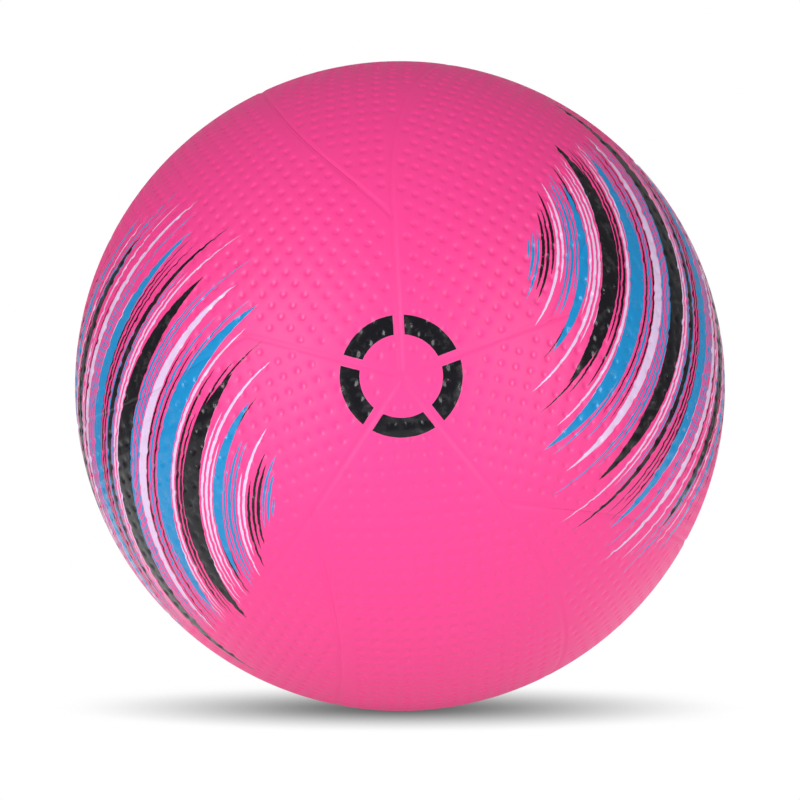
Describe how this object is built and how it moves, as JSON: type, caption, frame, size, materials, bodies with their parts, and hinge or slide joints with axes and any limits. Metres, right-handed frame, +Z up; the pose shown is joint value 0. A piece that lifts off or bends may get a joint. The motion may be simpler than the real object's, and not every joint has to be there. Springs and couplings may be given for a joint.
{
  "type": "volleyball",
  "caption": "Moulded rubber volleyball with a dimpled cover of interlocking panels over a rubber carcass, a nylon winding and an air bladder with a needle valve.",
  "frame": {"origin": "centre of the ball", "axes": "+Z up as the ball lies in the picture; +Y along the pole axis of the panel layout, from the front pole, which faces the viewer, to the back pole; +X to the viewer's right"},
  "size_m": [0.21, 0.21, 0.2096],
  "materials": {
    "cover_rubber": "pink moulded rubber with round dimples, soft satin gloss",
    "carcass_rubber": "matt black sheet rubber",
    "nylon_thread": "wound off-white nylon thread, set in latex",
    "butyl_rubber": "smooth black butyl",
    "valve_rubber": "moulded black rubber"
  },
  "bodies": {
    "root": {"front_panel_1": "cover_rubber", "front_panel_2": "cover_rubber", "front_panel_3": "cover_rubber", "front_panel_4": "cover_rubber", "front_panel_5": "cover_rubber", "back_panel_1": "cover_rubber", "back_panel_2": "cover_rubber", "back_panel_3": "cover_rubber", "back_panel_4": "cover_rubber", "back_panel_5": "cover_rubber", "carcass_front": "carcass_rubber", "carcass_back": "carcass_rubber", "nylon_winding": "nylon_thread", "air_bladder": "butyl_rubber", "valve_housing": "valve_rubber", "valve_core": "valve_rubber"}
  },
  "joints": []
}
